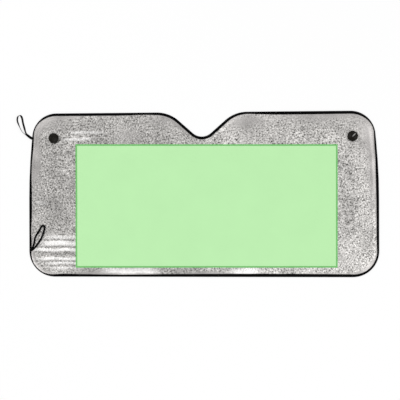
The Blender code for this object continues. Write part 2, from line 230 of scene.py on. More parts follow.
def wrapGrid(along, around, placeAt, openEnds=True):
    # a grid rolled into a tube, with u along it and v around it
    shape = bmesh.new()
    shape.loops.layers.uv.new("UVMap")
    bmesh.ops.create_grid(shape, x_segments=along, y_segments=around, size=0.5, calc_uvs=True)
    for vertex in shape.verts:
        station = round((vertex.co.x + 0.5) * along)
        spoke = round((vertex.co.y + 0.5) * around)
        vertex.co = placeAt(station, spoke)
    bmesh.ops.remove_doubles(shape, verts=shape.verts[:], dist=mergeReach)
    if openEnds:
        rims = [edge for edge in shape.edges if edge.is_boundary]
        bmesh.ops.holes_fill(shape, edges=rims, sides=0)
    bmesh.ops.recalc_face_normals(shape, faces=shape.faces[:])
    return shape


# Building materials

def startMaterial(name, values):
    material = bpy.data.materials.new(name)
    material.use_nodes = True
    shader = material.node_tree.nodes["Principled BSDF"]
    for socket, value in values.items():
        shader.inputs[socket].default_value = value
    return material, shader


def addNode(owner, kind, inputs, **settings):
    # a socket among the inputs is wired in, and anything else is set; the owner may be the world
    node = owner.node_tree.nodes.new("ShaderNode" + kind)
    for key, value in settings.items():
        setattr(node, key, value)
    for key, value in inputs.items():
        if isinstance(value, bpy.types.NodeSocket):
            owner.node_tree.links.new(value, node.inputs[key])
        else:
            node.inputs[key].default_value = value
    return node


def addRamp(material, factor, stops):
    ramp = addNode(material, "ValToRGB", {"Fac": factor})
    elements = ramp.color_ramp.elements
    while len(elements) < len(stops):
        elements.new(0.5)
    for element, (position, colour) in zip(elements, stops):
        element.position = position
        element.color = (*colour, 1.0) if isinstance(colour, tuple) else (colour,) * 3 + (1.0,)
    return ramp.outputs["Color"]


def addNoise(material, vector, scale, detail, **inputs):
    inputs = {"Vector": vector, "Scale": scale, "Detail": detail, **inputs}
    return addNode(material, "TexNoise", inputs).outputs["Fac"]


def addCells(material, vector, scale, randomness, feature="F1"):
    inputs = {"Vector": vector, "Scale": scale, "Randomness": randomness}
    return addNode(material, "TexVoronoi", inputs, feature=feature).outputs["Distance"]


def mathNode(owner, operation, *values):
    node = addNode(owner, "Math", dict(enumerate(values)), operation=operation)
    return node.outputs[0]


def mixColours(material, factor, first, second, blend="MIX"):
    inputs = {0: factor, 6: first, 7: second}
    return addNode(material, "Mix", inputs, data_type="RGBA", blend_type=blend).outputs[2]


def wire(owner, source, target):
    owner.node_tree.links.new(source, target)


def addBump(material, shader, height, strength, distance):
    inputs = {"Height": height, "Strength": strength, "Distance": distance}
    wire(material, addNode(material, "Bump", inputs).outputs["Normal"], shader.inputs["Normal"])


# Camera, a long lens from above and a little to the right
cameraView = {
    "target": (-0.0079, -0.0203, 0.0),
    "distance": 5.0,
    "yaw": 5.32,
    "roll": -0.185,
    "lens": 121.5,
    "farthest": 50,
}


def makeCamera(view):
    yaw, roll = math.radians(view["yaw"]), math.radians(view["roll"])
    back = Vector((math.sin(yaw), 0.0, math.cos(yaw)))
    across = Vector((-math.sin(roll), math.cos(roll), 0.0)).cross(back).normalized()
    data = bpy.data.cameras.new("photo_camera")
    data.lens = view["lens"]
    data.clip_end = view["farthest"]
    camera = addObject("photo_camera", data)
    turned = Matrix((across, back.cross(across), back)).transposed().to_4x4()
    camera.matrix_world = Matrix.Translation(Vector(view["target"]) + back * view["distance"]) @ turned
    bpy.context.scene.camera = camera


makeCamera(cameraView)


# Elastic loops: flat woven tape, standing on edge where it bends
elastic = {
    "width": 0.0072,
    "thickness": 0.0010,
    "clearance": 0.0002,  # over what it lies on
    "stepLength": 0.0016,
    "around": 14,
    # how boxy the tape's section is, 1 for an oval and towards 0 for square corners
    "sideBoxiness": 0.45,
    "faceBoxiness": 0.6,
    "turnEasing": 6,
    "heightEasing": 8,
    "ribs": 7,  # cords of rubber across the width
    "ribsPerWave": 3.2,
    "braidCells": (240.0, 28.0, 1.0),
    "colours": [(0.3, (0.0006, 0.0006, 0.0007)), (0.75, (0.0045, 0.0045, 0.0048))],
    "bumpDepth": 0.00025,
    # how far in from the outline each loop's ends run on to, and the longest such piece
    "upperMeets": 0.0004,
    "lowerMeets": 0.0076,
    "longestTail": 0.0052,
}
upperRoute = [
    (-0.6393, 0.2144, 0.00185), (-0.6438, 0.2166, 0.00175), (-0.6498, 0.2208, 0.00155),
    (-0.6560, 0.2256, 0.00140), (-0.6608, 0.2302, 0.00135), (-0.6636, 0.2372, 0.00135),
    (-0.6668, 0.2475, 0.00135), (-0.6716, 0.2640, 0.00135), (-0.6742, 0.2752, 0.00135),
    (-0.6756, 0.2836, 0.00135), (-0.6777, 0.2913, 0.00135), (-0.6807, 0.2966, 0.00135),
    (-0.6849, 0.2987, 0.00135), (-0.6897, 0.2969, 0.00135), (-0.6932, 0.2913, 0.00135),
    (-0.6946, 0.2833, 0.00135), (-0.6933, 0.2752, 0.00135), (-0.6903, 0.2668, 0.00135),
    (-0.6867, 0.2582, 0.00135), (-0.6821, 0.2480, 0.00135), (-0.6755, 0.2372, 0.00135),
    (-0.6692, 0.2312, 0.00135), (-0.6633, 0.2270, 0.00135), (-0.6580, 0.2230, 0.00140),
    (-0.6516, 0.2182, 0.00155), (-0.6454, 0.2138, 0.00175), (-0.6393, 0.2110, 0.00185),
]
lowerRoute = [
    (-0.6394, -0.2010, 0.00485), (-0.6355, -0.1925, 0.00530), (-0.6322, -0.1830, 0.00550),
    (-0.6300, -0.1735, 0.00562), (-0.6288, -0.1645, 0.00570), (-0.6262, -0.1567, 0.00589),
    (-0.6215, -0.1487, 0.00622), (-0.6153, -0.1385, 0.00664), (-0.6096, -0.1290, 0.00704),
    (-0.6052, -0.1212, 0.00734), (-0.6020, -0.1163, 0.00756), (-0.5972, -0.1142, 0.00769),
    (-0.5927, -0.1168, 0.00774), (-0.5908, -0.1238, 0.00770), (-0.5934, -0.1330, 0.00756),
    (-0.5962, -0.1430, 0.00744), (-0.5998, -0.1525, 0.00732), (-0.6041, -0.1610, 0.00708),
    (-0.6090, -0.1692, 0.00678), (-0.6143, -0.1775, 0.00649), (-0.6195, -0.1855, 0.00620),
    (-0.6245, -0.1918, 0.00592), (-0.6310, -0.1990, 0.00556), (-0.6394, -0.2051, 0.00485),
]
# share of the loop's length, and how far the tape is turned up from flat, in degrees
upperTurns = [
    (0, 26), (0.10, 30), (0.16, 62), (0.22, 20), (0.28, 0), (0.42, 4), (0.45, 46), (0.48, 86),
    (0.52, 130), (0.60, 132), (0.66, 112), (0.71, 91), (0.84, 90), (0.92, 132), (1, 152),
]
lowerTurns = [
    (0, 16), (0.12, 30), (0.22, 34), (0.30, 8), (0.42, 2), (0.53, 0), (0.66, 2),
    (0.76, 24), (0.86, 0), (1, -12),
]


def smoothRoute(route, spacing):
    # a smooth line through the route's points, evenly spaced
    points = np.array(route)
    padded = np.vstack([2 * points[0] - points[1], points, 2 * points[-1] - points[-2]])
    fine, between = [], 20
    for index in range(1, len(padded) - 2):
        before, start, end, after = padded[index - 1 : index + 3]
        for share in np.linspace(0, 1, between, endpoint=False):
            fine.append(0.5 * (
                2 * start + (end - before) * share + (2 * before - 5 * start + 4 * end - after) * share**2
                + (3 * start - before - 3 * end + after) * share**3
            ))
    fine.append(points[-1])
    return evenly(np.array(fine), spacing, closed=False)


def ease(values, rounds):
    # soften the changes along a row of values, with its ends kept
    for _ in range(rounds):
        values[1:-1] = (values[:-2] + 2 * values[1:-1] + values[2:]) / 4


def makeElastic(name, route, turns, meets, material):
    line, length = smoothRoute(route, elastic["stepLength"])
    count = len(line) - 1
    angles = np.interp(np.linspace(0, 1, count + 1), *zip(*turns))
    ease(angles, elastic["turnEasing"])
    angles = np.radians(angles)
    halfWidth, halfThick = elastic["width"] / 2, elastic["thickness"] / 2
    edge = outlineAt(0.0)
    rise = np.abs(np.sin(angles)) * halfWidth + np.abs(np.cos(angles)) * halfThick
    ground = groundUnder(line[:, 0], line[:, 1])
    line[:, 2] = np.maximum(line[:, 2], ground + rise + elastic["clearance"])
    ease(line[:, 2], elastic["heightEasing"])
    tangents = np.gradient(line, axis=0)
    tangents /= np.linalg.norm(tangents, axis=1)[:, None]
    left = np.stack([-tangents[:, 1], tangents[:, 0], np.zeros(count + 1)], axis=1)
    left /= np.linalg.norm(left, axis=1)[:, None]
    up = np.cross(tangents, left)
    wide = np.cos(angles)[:, None] * left + np.sin(angles)[:, None] * up
    thin = np.cross(tangents, wide)

    def placeAt(station, spoke):
        angle = math.tau * spoke / elastic["around"]
        cosine, sine = math.cos(angle), math.sin(angle)
        across = math.copysign(abs(cosine) ** elastic["sideBoxiness"], cosine) * halfWidth
        outward = math.copysign(abs(sine) ** elastic["faceBoxiness"], sine) * halfThick
        spot = line[station] + wide[station] * across + thin[station] * outward
        if station in (0, count):  # the ends are cut along the binding that holds them
            onward = tangents[station] * (-1 if station == 0 else 1)
            short = meets - nearestOn(spot[None, :2], edge)[0][0]
            spot[:2] += onward[:2] * min(max(short / onward[0], 0.0), elastic["longestTail"])
        return Vector(spot)

    tape = wrapGrid(count, elastic["around"], placeAt)
    loop = place(name.replace("loop", "tape"), tape, material, sharpAbove=70)
    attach(loop, "shade")
    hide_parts(name)
    print(f"{name}: {length * 1000:.0f} mm of tape, {line[:, 2].max() * 1000:.1f} mm high")


def elasticMaterial():
    material, shader = startMaterial("black_elastic_weave", {
        "Roughness": 0.8, "Specular IOR Level": 0.03, "Sheen Weight": 0.004, "Sheen Roughness": 0.5,
    })
    places = addNode(material, "TexCoord", {}).outputs
    ribs = addNode(material, "Mapping", {"Vector": places["UV"], "Scale": (1.0, 2 * elastic["ribs"], 1.0)})
    waves = {"Vector": ribs.outputs[0], "Scale": 1.0 / elastic["ribsPerWave"]}
    across = addNode(material, "TexWave", waves, bands_direction="Y")
    braid = addNode(material, "Mapping", {"Vector": places["UV"], "Scale": elastic["braidCells"]})
    cells = addCells(material, braid.outputs[0], scale=1.0, randomness=0.35)
    fuzz = addNoise(material, places["Object"], scale=900.0, detail=2.0)
    wire(material, addRamp(material, fuzz, elastic["colours"]), shader.inputs["Base Color"])
    height = mathNode(material, "ADD", across.outputs["Fac"], cells)
    addBump(material, shader, height, strength=0.6, distance=elastic["bumpDepth"])
    return material


weave = elasticMaterial()
makeElastic("elastic_loop_upper", upperRoute, upperTurns, elastic["upperMeets"], weave)
makeElastic("elastic_loop_lower", lowerRoute, lowerTurns, elastic["lowerMeets"], weave)
print("camera and loops made")


# Foil sheet
foil = {
    "spacing": 0.0035,  # between points of the top skin, a third of the bubbles' pitch
    "backSpacing": 0.0070,
    "bubbleHeight": 0.0009,
    "bubbleRadius": 0.0047,
    "leastBubble": 0.55,  # share of the bubbles' height that the flattest one keeps
    "crumple": 0.00025,
    "tallestRidge": 0.0002,
    "pulledFlat": 0.8,  # share of the relief that a crease pulls out
    "backRelief": 0.8,  # share of the relief that shows on the underside
    "backFlat": 0.2,  # the underside stays flat while the sheet has risen less than this
    "hemStart": 0.0050,
    "hemWidth": 0.013,  # the bubbles fade in over this width, inside the flat hem
    "hemWander": 0.004,
    "neckHole": 0.0036,
    "neckFlat": 0.009,  # flat around each neck out to here
    "neckFade": 0.006,
    "nearCup": 0.03,  # an open edge nearer to a cup than this is its neck hole
    "trimShare": 0.35,  # of the spacing, how near the edge a point of the net may lie
    "creaseBend": 0.0012,
    "paintedShading": 0.92,
    # painted highlight on the fold bared at a corner: depth, reach, amount, then middle and reach along the
    # sheet
    "foldHighlight": (0.0050, 0.0030, 1.5),
    "highlightedCorner": (-0.605, -0.255, 0.070, 0.060),
    "seed": 11,
    "colours": [
        (0.34, (0.052, 0.050, 0.047)), (0.43, (0.215, 0.209, 0.200)), (0.51, (0.385, 0.374, 0.362)),
        (0.60, (0.470, 0.458, 0.443)), (0.70, (0.680, 0.664, 0.645)),
    ],
    "hemColours": [(0.0, (0.300, 0.288, 0.280)), (1.0, (0.345, 0.333, 0.326))],
    # a pale colour painted along the creases as their highlight
    "creaseHighlightColour": (0.78, 0.77, 0.76, 1.0),
    "drift": [(0.3, 0.80), (0.7, 1.16)],
    "roughness": [(0.3, 0.44), (0.7, 0.32)],
    "creaseHighlightShare": 0.75,
    "hemLines": 1500.0,
    "wrinkleShare": 0.8,
    "hemBump": 0.5,
    "bubbleBump": 0.45,  # on top of the hem's
    "bumpDepth": 0.0010,
}
# Pulled creases with a painted highlight: middle x, middle y, half length, half width, height, painted
# highlight (also how far the bubbles are pulled flat), share broken into dots
creases = [
    (-0.500, -0.1580, 0.085, 0.0062, 0.0006, 1.00, 0.6),
    (-0.508, -0.1802, 0.092, 0.0092, 0.0007, 1.00, 0.1),
    (-0.524, -0.2047, 0.109, 0.0054, 0.0007, 1.00, 0.1),
    (-0.520, -0.2378, 0.100, 0.0052, 0.0006, 1.00, 0.4),
    (-0.500, -0.2540, 0.080, 0.0044, 0.0005, 1.00, 0.7),
    (-0.510, -0.2726, 0.060, 0.0044, 0.0004, 0.70, 0.7),
    (-0.428, 0.2322, 0.058, 0.0050, 0.0006, 1.00, 0.5),
    (-0.464, 0.2075, 0.056, 0.0048, 0.0005, 1.00, 0.5),
    (-0.600, -0.0300, 0.022, 0.0060, 0.0004, 0.50, 0.3),
    (-0.268, -0.2835, 0.098, 0.0105, 0.0003, 1.00, 0.1),
    (0.157, -0.2840, 0.054, 0.0105, 0.0003, 0.85, 0.4),
]
# Painted shade: rows darkened between the creases, where the puckers fall in shade: middle x, middle y,
# half length, half width, depth
paintedPuckerShade = [
    (-0.520, -0.1677, 0.100, 0.0034, 0.50), (-0.520, -0.1950, 0.100, 0.0034, 0.50),
    (-0.525, -0.2190, 0.100, 0.0080, 0.45), (-0.520, -0.2458, 0.100, 0.0034, 0.50),
    (-0.510, -0.2635, 0.085, 0.0034, 0.35),
]
# Places pulled flat, where the bubbles hardly show: middle x, middle y, reach in x, reach in y, how flat
flatSpots = [
    (0.150, 0.272, 0.085, 0.030, 0.85), (0.430, 0.288, 0.150, 0.018, 0.85),
    (0.622, 0.235, 0.052, 0.085, 0.92), (0.632, 0.080, 0.020, 0.150, 0.85),
    (-0.590, 0.270, 0.070, 0.035, 0.80), (-0.625, 0.120, 0.022, 0.100, 0.80),
    (-0.270, 0.220, 0.050, 0.030, 0.60), (-0.130, 0.275, 0.080, 0.022, 0.55),
]
# Stretches where the flat hem is wider: middle x, reach in x, starting y, rise to full, extra width
widerHems = [(-0.63, 0.09, 0.04, 0.08, 0.020), (0.63, 0.06, 0.02, 0.10, 0.014)]
# Painted light: the foil's colour is made lighter to the right and downwards: start, rise to full, amount
paintedLightRight = [(-0.22, 0.40, 0.32), (0.40, 0.15, 0.06)]
paintedLightBottom = (-0.12, 0.14, 0.24)
# Painted light and shade, patches where the foil's colour is made lighter or darker: middle x, middle y,
# reach in x, reach in y, amount
paintedLightSpots = [
    (-0.560, -0.220, 0.120, 0.090, 0.16), (-0.560, 0.100, 0.080, 0.090, -0.07),
    (-0.415, 0.262, 0.060, 0.022, -0.12), (-0.385, 0.205, 0.035, 0.012, -0.12),
    (-0.420, -0.284, 0.045, 0.014, -0.30), (-0.033, -0.286, 0.120, 0.014, -0.38),
    (0.645, 0.000, 0.030, 0.320, -0.22), (0.560, -0.030, 0.060, 0.060, -0.08),
    (0.420, 0.215, 0.060, 0.020, 0.12),
]


def triangleNet(spacing):
    # a net of even triangles, trimmed to the sheet's edge and to the holes for the necks
    rowGap = spacing * math.sqrt(3) / 2
    margin = 4
    columns = math.ceil(shade["width"] / spacing) + margin
    rows = 2 * math.ceil(shade["height"] / rowGap / 2) + margin
    net = bmesh.new()
    bmesh.ops.create_grid(net, x_segments=columns, y_segments=rows, size=0.5)
    for vertex in net.verts:
        column, row = round((vertex.co.x + 0.5) * columns), round((vertex.co.y + 0.5) * rows)
        vertex.co.x = (column - columns // 2 + (row % 2) / 2) * spacing
        vertex.co.y = (row - rows // 2) * rowGap
    bmesh.ops.triangulate(net, faces=net.faces[:], quad_method="SHORT_EDGE")
    spots = np.array([vertex.co[:2] for vertex in net.verts])
    depth = nearestOn(spots, sheetEdge)[0]
    trim = foil["trimShare"] * spacing
    drop = (depth < trim) | (cupDistance(spots[:, 0], spots[:, 1]) < foil["neckHole"] + trim)
    outside = [vertex for vertex, out in zip(net.verts[:], drop) if out]
    bmesh.ops.delete(net, geom=outside, context="VERTS")
    for _ in range(2):  # drops triangles with every corner on the rim
        ears = [face for face in net.faces if all(vertex.is_boundary for vertex in face.verts)]
        bmesh.ops.delete(net, geom=ears, context="FACES")
    rim = [vertex for vertex in net.verts if vertex.is_boundary]
    spots = np.array([vertex.co[:2] for vertex in rim])
    onEdge = nearestOn(spots, sheetEdge)[1]
    for vertex, spot, target in zip(rim, spots, onEdge):
        middle = np.array([math.copysign(shade["cupX"], spot[0]), shade["cupY"]])
        away = spot - middle
        if np.linalg.norm(away) < foil["nearCup"]:
            target = middle + away / np.linalg.norm(away) * foil["neckHole"]
        vertex.co.x, vertex.co.y = target
    return net


def bubbleRelief(x, y):
    # how far the skin lies below the top of the tallest bubble, each bubble as high as its number says
    pitch = 3 * foil["spacing"]
    rowGap = pitch * math.sqrt(3) / 2
    best, which = np.full(len(x), np.inf), np.zeros(len(x))
    row0 = np.floor(y / rowGap)
    for step in (0, 1):
        row = row0 + step
        shift = (np.mod(row, 2) / 2) * pitch
        column = np.round((x - shift) / pitch)
        away = np.hypot(x - column * pitch - shift, y - row * rowGap)
        closer = away < best
        best = np.where(closer, away, best)
        which = np.where(closer, column * 131 + row * 977, which)
    dome = np.sqrt(np.clip(1 - (best / foil["bubbleRadius"]) ** 2, 0, 1))
    share = foil["leastBubble"] + (1 - foil["leastBubble"]) * scatter(which, 1)
    return (1 - dome * share) * foil["bubbleHeight"]


def scatter(number, salt):
    # a steady random value from 0 to 1 for each whole number
    value = np.sin(number * 12.9898 + salt * 78.233) * 43758.5453
    return value - np.floor(value)


def streak(x, y, middleX, middleY, halfLength, halfWidth):
    # from 1 on a slightly wavy line down to 0 beside it
    bend = foil["creaseBend"] * np.sin((x - middleX) * 60 + middleY * 90)
    return np.exp(-(((y - middleY - bend) / halfWidth) ** 4)) * np.exp(-(((x - middleX) / halfLength) ** 6))


def creaseShares(x, y):
    # painted highlight (also how far the bubbles are pulled flat) and height of the creases
    total, height = np.zeros(len(x)), np.zeros(len(x))
    for *spot, rise, highlightAndPull, broken in creases:
        dots = 0.5 + 0.5 * np.sin(x * 690 + 2.4 * np.sin(x * 131 + y * 210))
        share = streak(x, y, *spot) * (1 - broken * dots)
        total = np.maximum(total, share * highlightAndPull)
        height = height + share * rise
    return total, height


def softSpot(x, y, middleX, middleY, reachX, reachY):
    return np.exp(-(((x - middleX) / reachX) ** 2 + ((y - middleY) / reachY) ** 2))


def hemShares(x, y, depth):
    # 0 on the flat hem and on flat spots, 1 where the bubbles stand up
    wander = foil["hemWander"] * (np.sin(x * 31 + y * 17) + np.sin(x * 13 - y * 41 + 1.3))
    for middleX, reach, fromY, rise, extra in widerHems:
        wander += extra * np.exp(-(((x - middleX) / reach) ** 2)) * smoothStep((y - fromY) / rise)
    share = smoothStep((depth - foil["hemStart"] - wander) / foil["hemWidth"])
    for *spot, flat in flatSpots:
        share = share * (1 - flat * softSpot(x, y, *spot))
    return share


def foilPaintedLight(x, y, depth):
    # painted light and shade: lighter to the right and along the bottom, lighter or darker in patches,
    # darker in the puckered rows and lit on the bared fold
    paintedShading = foil["paintedShading"] + sum(amount * smoothStep((x - start) / rise) for start, rise, amount in paintedLightRight)
    start, rise, amount = paintedLightBottom
    paintedShading += amount * smoothStep((start - y) / rise)
    for *spot, amount in paintedLightSpots:
        paintedShading += amount * softSpot(x, y, *spot)
    # painted shade in the puckered rows between the creases
    for *spot, amount in paintedPuckerShade:
        clumps = 0.6 + 0.4 * np.sin(x * 420 + y * 900)
        paintedShading *= 1 - amount * clumps * streak(x, y, *spot)
    # painted highlight: the fold catches the light where the binding has rolled away from it
    middle, reach, amount = foil["foldHighlight"]
    foldGlint = np.exp(-(((depth - middle) / reach) ** 2)) * softSpot(x, y, *foil["highlightedCorner"])
    return paintedShading + amount * foldGlint


def makeFoil(material):
    shape = triangleNet(foil["spacing"])
    bmesh.ops.translate(shape, verts=shape.verts[:], vec=(0, 0, 1))
    under = triangleNet(foil["backSpacing"])
    bmesh.ops.translate(under, verts=under.verts[:], vec=(0, 0, -1))
    bmesh.ops.reverse_faces(under, faces=under.faces[:])
    lower = bpy.data.meshes.new("foil_back")
    under.to_mesh(lower)
    under.free()
    shape.from_mesh(lower)
    bpy.data.meshes.remove(lower)
    rims = {"edge": [], "left": [], "right": []}
    for edge in shape.edges:
        if edge.is_boundary:
            middle = (edge.verts[0].co + edge.verts[1].co) / 2
            near = cupDistance(middle.x, middle.y) < foil["nearCup"]
            rims[("left" if middle.x < 0 else "right") if near else "edge"].append(edge)
    for edges in rims.values():
        bmesh.ops.bridge_loops(shape, edges=edges)
    bmesh.ops.triangulate(shape, faces=[face for face in shape.faces if len(face.verts) > 3])
    bmesh.ops.recalc_face_normals(shape, faces=shape.faces[:])
    print("foil:", len(shape.faces), "faces, open edges:", sum(edge.is_boundary for edge in shape.edges))
    piece = place("foil_sheet", shape, material)
    mesh = piece.data
    co = np.empty(len(mesh.vertices) * 3)
    mesh.vertices.foreach_get("co", co)
    co = co.reshape(-1, 3)
    x, y, isTop = co[:, 0], co[:, 1], co[:, 2] > 0
    depth = np.maximum(nearestOn(co[:, :2], sheetEdge)[0], 0.0)
    depth[depth < mergeReach] = 0.0
    bottom, top, share = sheetHeights(x, y, depth)
    hem = hemShares(x, y, depth) * smoothStep((cupDistance(x, y) - foil["neckFlat"]) / foil["neckFade"])
    pulledAndHighlight, ridge = creaseShares(x, y)
    rng = np.random.RandomState(foil["seed"])
    crumple = (rng.rand(len(x)) - 0.5) * 2 * foil["crumple"]
    sink = hem * (1 - foil["pulledFlat"] * pulledAndHighlight) * (bubbleRelief(x, y) + np.abs(crumple))
    skin = top - sink + np.minimum(ridge, foil["tallestRidge"]) * hem
    back = bottom + foil["backRelief"] * sink * (share > foil["backFlat"])
    co[:, 2] = np.where(isTop, skin, back)
    mesh.vertices.foreach_set("co", co.ravel())
    # the painted light and shade and the creases' painted highlight are kept on the points for the material
    marks = {"hem": hem, "pulledAndHighlight": pulledAndHighlight, "paintedShading": foilPaintedLight(x, y, depth), "depth": depth}
    for name, values in marks.items():
        attribute = mesh.attributes.new(name, "FLOAT", "POINT")
        attribute.data.foreach_set("value", values.astype(np.float32))
    mesh.update()
    return piece


def foilMaterial():
    material, shader = startMaterial("aluminised_film", {"Metallic": 0.88, "Roughness": 0.34, "IOR": 1.5})
    place3d = addNode(material, "TexCoord", {}).outputs["Object"]
    hem, pulledAndHighlight, paintedShading, depth = (
        addNode(material, "Attribute", {}, attribute_name=name).outputs["Fac"]
        for name in ("hem", "pulledAndHighlight", "paintedShading", "depth")
    )
    speckle = addNoise(material, place3d, scale=180.0, detail=3.0, Roughness=0.6, Distortion=0.4)
    drift = addNoise(material, place3d, scale=14.0, detail=3.0)
    wrinkles = addCells(material, place3d, scale=140.0, randomness=1.0, feature="DISTANCE_TO_EDGE")
    # pressed lines run along the hem
    lines = mathNode(material, "SINE", mathNode(material, "MULTIPLY", depth, foil["hemLines"]))
    pressed = addRamp(material, mathNode(material, "MULTIPLY_ADD", lines, 0.5, 0.5), foil["hemColours"])
    # the speckled colour is random tone and also painted shade and glints of the crinkled foil
    colour = mixColours(material, hem, pressed, addRamp(material, speckle, foil["colours"]))
    # painted highlight: the creases' colour is mixed towards a pale one
    creaseGlint = mathNode(material, "MULTIPLY", pulledAndHighlight, foil["creaseHighlightShare"])
    colour = mixColours(material, creaseGlint, colour, foil["creaseHighlightColour"])
    clouds = addRamp(material, drift, foil["drift"])
    colour = mixColours(material, 1.0, colour, clouds, "MULTIPLY")
    # the painted light and shade scale the foil's colour
    paintedLitColour = addNode(material, "VectorMath", {0: colour, 3: paintedShading}, operation="SCALE")
    wire(material, paintedLitColour.outputs[0], shader.inputs["Base Color"])
    wire(material, addRamp(material, speckle, foil["roughness"]), shader.inputs["Roughness"])
    fineFolds = mathNode(material, "MULTIPLY", wrinkles, foil["wrinkleShare"])
    height = mathNode(material, "ADD", speckle, fineFolds)
    strength = mathNode(material, "MULTIPLY_ADD", hem, foil["bubbleBump"], foil["hemBump"])
    addBump(material, shader, height, strength=strength, distance=foil["bumpDepth"])
    return material


foilSheet = makeFoil(foilMaterial())
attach(foilSheet, "shade")
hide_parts("foil_panel")
print("foil sheet made")


# Edge binding, a woven tape folded over the edge
binding = {
    "stepLength": 0.0050,
    "lipWidth": 0.0102,
    "foldRadius": 0.0017,
    "lipRounding": 0.0004,
    "ripple": 0.0006,
    "rippleFrom": 0.004,  # only what lies further in than this ripples
    "seed": 5,
    "colours": [(0.15, (0.0007, 0.0007, 0.0008)), (0.5, (0.004, 0.004, 0.0043))],
    "weaveCells": (3680.0, 34.0, 1.0),
    "bumpDepth": 0.0002,
}
stitching = {
    "pitch": 0.0040,
    "length": 0.0031,
    "threadRadius": 0.00035,
    "proud": 0.0001,
    "backHeight": 0.0002,
    "lean": 0.12,  # radians off the seam's line
    "seamShare": 0.70,
    # bar tacks where the loops are sewn in
    "tacks": [(-0.6440, 0.2125), (-0.6440, -0.2048)],
    "tackStitches": 11,
    "tackPitch": 0.001,
    "tackLean": 0.10,
    "tackSize": (1.9, 1.5),  # length and thickness beside those of a seam stitch
    "colours": [(0.3, (0.002, 0.002, 0.0022)), (0.7, (0.009, 0.009, 0.0095))],
}
# Where the tape was sewn on wider or has rolled to the back: x, y, reach, and the change in width
lipChanges = [
    (-0.628, 0.250, 0.052, -0.0062), (0.638, 0.250, 0.055, -0.0058), (-0.632, -0.278, 0.070, -0.0068),
    (0.630, -0.280, 0.060, -0.0028), (-0.648, 0.110, 0.075, -0.0040), (-0.650, -0.132, 0.036, -0.0032),
    (-0.220, 0.305, 0.050, -0.0020), (0.170, 0.305, 0.060, -0.0026), (0.650, -0.110, 0.100, -0.0012),
    (0.645, 0.150, 0.055, -0.0026), (0.650, -0.215, 0.035, -0.0016), (0.350, 0.305, 0.220, 0.0015),
    (-0.530, -0.305, 0.050, 0.0010), (-0.290, -0.305, 0.130, -0.0026), (0.250, -0.305, 0.300, 0.0016),
]


def lipWidths(points):
    width = np.full(len(points), binding["lipWidth"])
    for x, y, reach, change in lipChanges:
        width += change * np.exp(-((np.hypot(points[:, 0] - x, points[:, 1] - y) / reach) ** 2))
    return width


def inwardNormals(points):
    along = np.roll(points, -1, axis=0) - np.roll(points, 1, axis=0)
    along /= np.linalg.norm(along, axis=1)[:, None]
    return np.stack([-along[:, 1], along[:, 0]], axis=1)


def bindingSection(lip):
    # the folded tape cut across, as distance in from the fold and height
    fold, soft = binding["foldRadius"], binding["lipRounding"]
    thick, height = tapeThickness, tapeHeight
    outer, foldSteps = [], 6
    for step in range(foldSteps + 1):
        angle = math.radians(90 * step / foldSteps)
        outer.append((fold * (1 - math.sin(angle)), fold * (1 - math.cos(angle))))
    under = [(tapeWidth - 0.75 * soft, 0.0)] + outer
    over = [(inwards, height - z) for inwards, z in reversed(outer)]
    edge = [
        (lip - soft, height), (lip - soft / 4, height - 0.375 * soft),
        (lip, height - soft), (lip - soft / 4, height - thick),
    ]
    inner = [
        (thick + soft, height - thick), (thick, height - thick - soft),
        (thick, thick + soft), (thick + soft, thick),
    ]
    return under + over + edge + inner + [(tapeWidth, thick), (tapeWidth, soft / 2)]


def makeBinding(material):
    points, length = evenly(outlineAt(0.0), binding["stepLength"])
    inward = inwardNormals(points)
    sections = [bindingSection(lip) for lip in lipWidths(points)]
    rng = np.random.RandomState(binding["seed"])
    window = 7
    uneven = rng.rand(len(points) + window - 1) - 0.5
    ripple = np.convolve(uneven, np.ones(window) / window, "valid") * binding["ripple"]
    around = len(sections[0])

    def placeAt(station, spoke):
        index = station % len(points)
        inwards, z = sections[index][spoke % around]
        if inwards > binding["rippleFrom"]:
            inwards += ripple[index]
        spot = points[index] + inward[index] * inwards
        return Vector((spot[0], spot[1], z))

    shape = wrapGrid(len(points), around, placeAt, openEnds=False)
    tape = place("edge_tape", shape, material, sharpAbove=50)
    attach(tape, "shade")
    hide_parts("edge_binding")
    print(f"binding: {length:.2f} m of tape")


def bindingMaterial():
    material, shader = startMaterial("black_binding_weave", {
        "Roughness": 0.85, "Specular IOR Level": 0.03, "Sheen Weight": 0.004, "Sheen Roughness": 0.5,
    })
    places = addNode(material, "TexCoord", {}).outputs
    fine = addNode(material, "Mapping", {"Vector": places["UV"], "Scale": binding["weaveCells"]})
    cells = addCells(material, fine.outputs[0], scale=1.0, randomness=0.2)
    worn = addNoise(material, places["Object"], scale=45.0, detail=4.0)
    fuzz = addNoise(material, places["Object"], scale=1200.0, detail=1.0)
    mixed = mathNode(material, "MULTIPLY", worn, fuzz)
    wire(material, addRamp(material, mixed, binding["colours"]), shader.inputs["Base Color"])
    addBump(material, shader, cells, strength=0.5, distance=binding["bumpDepth"])
    return material


def stitchPlaces():
    # place, height, direction, length and thickness of each stitch on the face
    start, _ = evenly(outlineAt(0.0), stitching["tackPitch"])
    inward = inwardNormals(start)
    seam = start + inward * (lipWidths(start) * stitching["seamShare"])[:, None]
    points, _ = evenly(seam, stitching["pitch"])
    along = np.roll(points, -1, axis=0) - np.roll(points, 1, axis=0)
    spots = []
    for (x, y), (alongX, alongY) in zip(points, along):
        spots.append((x, y, tapeHeight, math.atan2(alongY, alongX) + stitching["lean"], 1.0, 1.0))
    half = stitching["tackStitches"] // 2
    for tackX, tackY in stitching["tacks"]:
        middle = int(np.hypot(seam[:, 0] - tackX, seam[:, 1] - tackY).argmin())
        for index in range(middle - half, middle + half + 1):
            (x, y), (inX, inY) = seam[index % len(seam)], inward[index % len(seam)]
            angle = math.atan2(inY, inX) + stitching["tackLean"]
            spots.append((x, y, tapeHeight, angle, *stitching["tackSize"]))
    print(len(points), "stitches on each face")
    return spots


